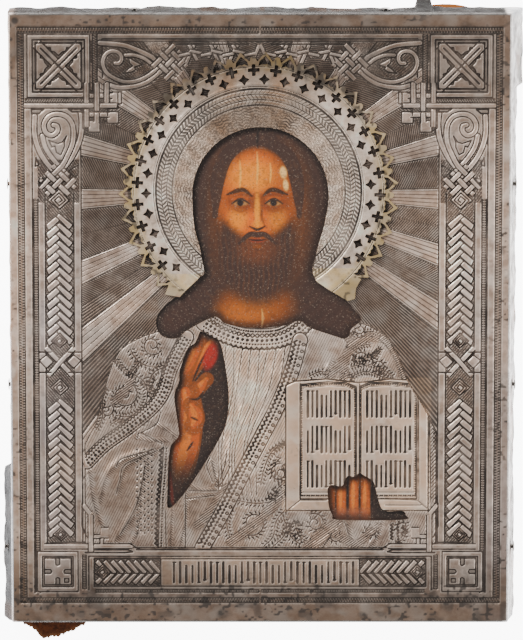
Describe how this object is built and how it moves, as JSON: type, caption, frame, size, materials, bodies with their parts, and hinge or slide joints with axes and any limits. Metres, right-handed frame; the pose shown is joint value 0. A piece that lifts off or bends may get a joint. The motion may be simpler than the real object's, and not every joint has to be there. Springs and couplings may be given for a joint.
{
  "type": "icon panel",
  "caption": "Painted wooden icon panel under a pressed silver cover with openings for head and hands, pierced halo, folded side skirts and velvet back",
  "frame": {"origin": "underside of the cloth back, below the middle of the face", "axes": "+Z out of the front, +Y to the top of the picture, +X to the picture's right; the panel lies on its back"},
  "size_m": [0.1903, 0.235, 0.0242],
  "materials": {
    "board_wood": "oil-painted picture on the front, bare aged wood on the sides",
    "velvet": "worn rust-brown velvet, torn and frayed",
    "cover_silver": "pressed and engraved silver sheet, tarnished, coppery where worn",
    "halo_silver": "pierced silver with worn gilding on the rim",
    "nail_metal": "dark domed nail heads"
  },
  "bodies": {
    "root": {"board": "board_wood", "backing_cloth": "velvet", "cover": "cover_silver", "halo": "halo_silver", "nail_right_1": "nail_metal", "nail_right_2": "nail_metal", "nail_right_3": "nail_metal", "nail_left_1": "nail_metal", "nail_left_2": "nail_metal", "nail_left_3": "nail_metal", "nail_top_1": "nail_metal", "nail_top_2": "nail_metal", "nail_bottom_1": "nail_metal", "nail_bottom_2": "nail_metal"}
  },
  "joints": []
}
